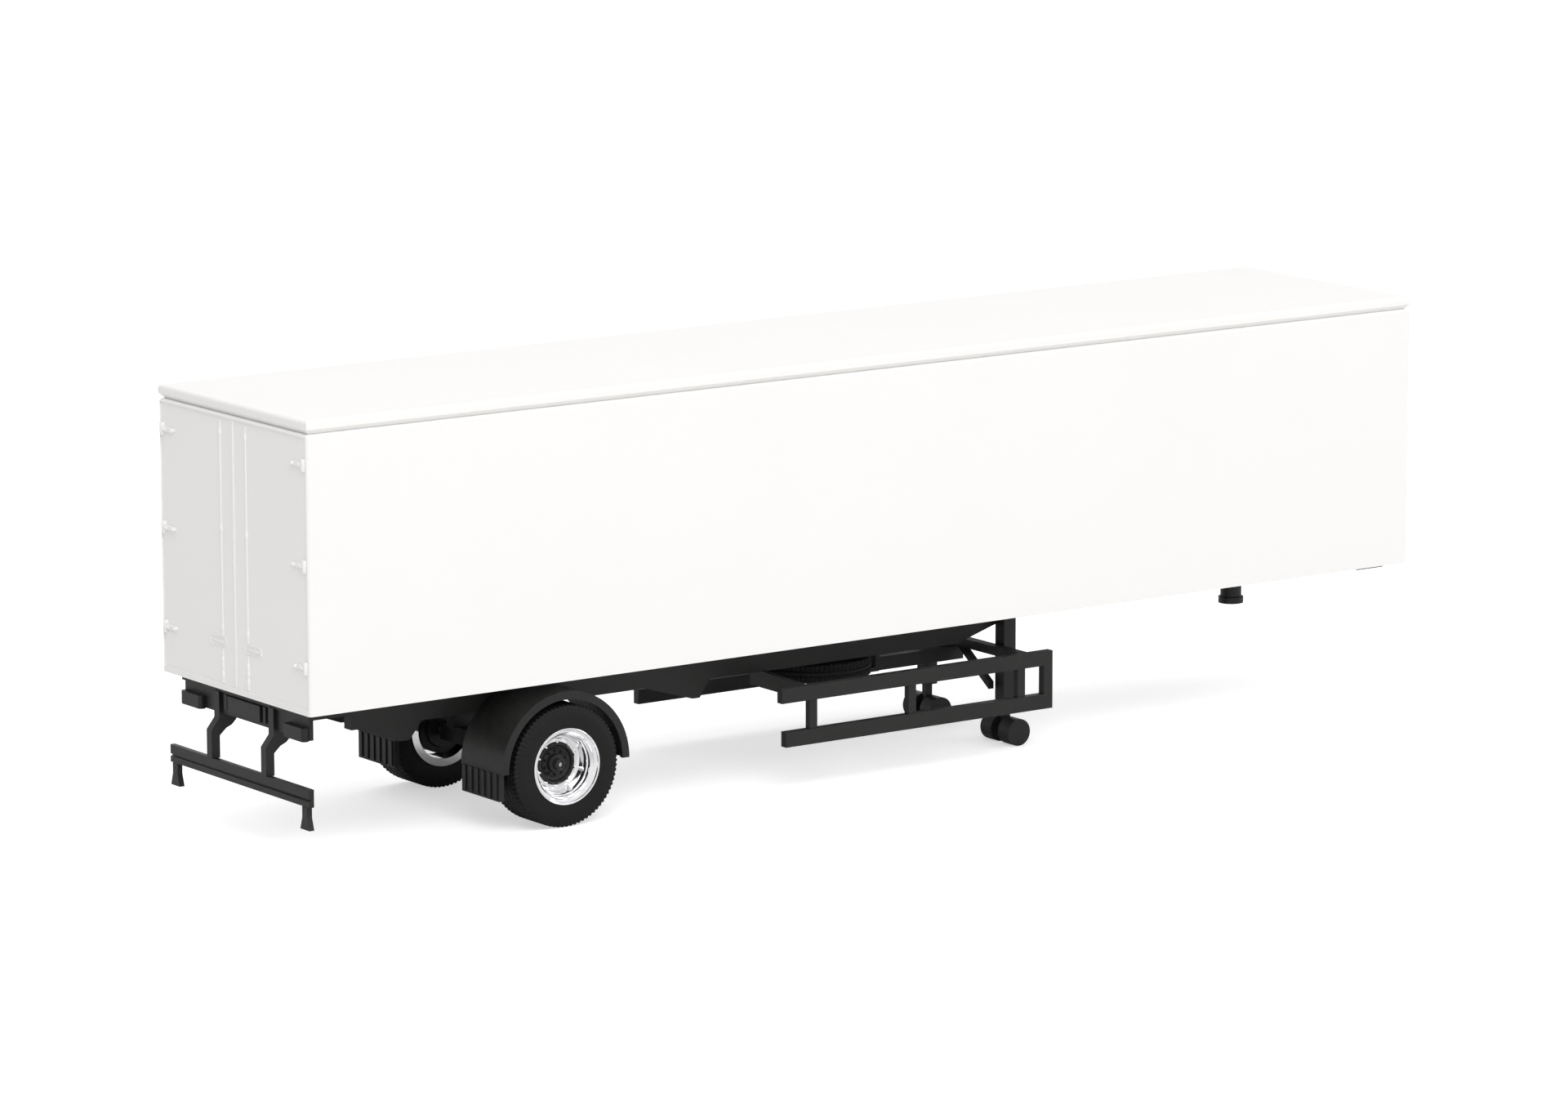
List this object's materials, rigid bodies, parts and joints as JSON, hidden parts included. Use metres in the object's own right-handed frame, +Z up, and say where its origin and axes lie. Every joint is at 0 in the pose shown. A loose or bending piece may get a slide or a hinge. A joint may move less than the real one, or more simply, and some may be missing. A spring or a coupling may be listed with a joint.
{
  "type": "box semi-trailer scale model",
  "caption": "Small plastic scale model of a box semi-trailer, with hollow body, landing gear, side guards, underride bar and one turning axle with deep-dish wheels.",
  "frame": {"origin": "on the ground, under the middle of the box body's length and width", "axes": "+X forward to the kingpin end, +Y to the trailer's left, +Z up"},
  "size_m": [0.1452, 0.0294, 0.0459],
  "materials": {
    "white_plastic": "satin moulded",
    "black_plastic": "satin moulded",
    "tyre_plastic": "matte",
    "chrome": "bright plated",
    "steel": "drawn"
  },
  "bodies": {
    "trailer": {"axle_housing": "black_plastic", "axle_seat_left": "black_plastic", "axle_seat_right": "black_plastic", "coupling_plate": "black_plastic", "crossmembers": "black_plastic", "door_header": "white_plastic", "floor": "white_plastic", "front_beam_left": "black_plastic", "front_beam_right": "black_plastic", "front_crossmember": "black_plastic", "front_hanger_left": "black_plastic", "front_hanger_right": "black_plastic", "front_wall": "white_plastic", "kingpin": "black_plastic", "landing_brace_left": "black_plastic", "landing_brace_right": "black_plastic", "landing_crossbar": "black_plastic", "landing_leg_left": "black_plastic", "landing_leg_right": "black_plastic", "landing_stay": "black_plastic", "landing_wheels_left": "black_plastic", "landing_wheels_right": "black_plastic", "marker_arm_left": "black_plastic", "marker_arm_right": "black_plastic", "mudflap_left": "black_plastic", "mudflap_right": "black_plastic", "mudguard_left": "black_plastic", "mudguard_right": "black_plastic", "number_panel": "black_plastic", "outrigger_left": "black_plastic", "outrigger_right": "black_plastic", "rear_beam_left": "black_plastic", "rear_beam_right": "black_plastic", "rear_crossmember": "black_plastic", "rear_door_left": "white_plastic", "rear_door_right": "white_plastic", "rear_hanger_left": "black_plastic", "rear_hanger_right": "black_plastic", "roof_lid": "white_plastic", "side_guard_left": "black_plastic", "side_guard_right": "black_plastic", "side_wall_left": "white_plastic", "side_wall_right": "white_plastic", "spare_carrier": "black_plastic", "spare_wheel": "black_plastic", "tail_light_left": "black_plastic", "tail_light_right": "black_plastic", "underride_bar": "black_plastic", "underride_bracket_left": "black_plastic", "underride_bracket_right": "black_plastic"},
    "wheelset": {"axle": "steel", "hub_left": "black_plastic", "hub_right": "black_plastic", "rim_left": "chrome", "rim_right": "chrome", "tyre_left": "tyre_plastic", "tyre_right": "tyre_plastic"}
  },
  "joints": [
    {"name": "axle_spin", "type": "hinge", "parent": "trailer", "child": "wheelset", "pos_m": [-0.0413, 0, 0.0065], "axis": [0, 1, 0], "continuous": true}
  ]
}
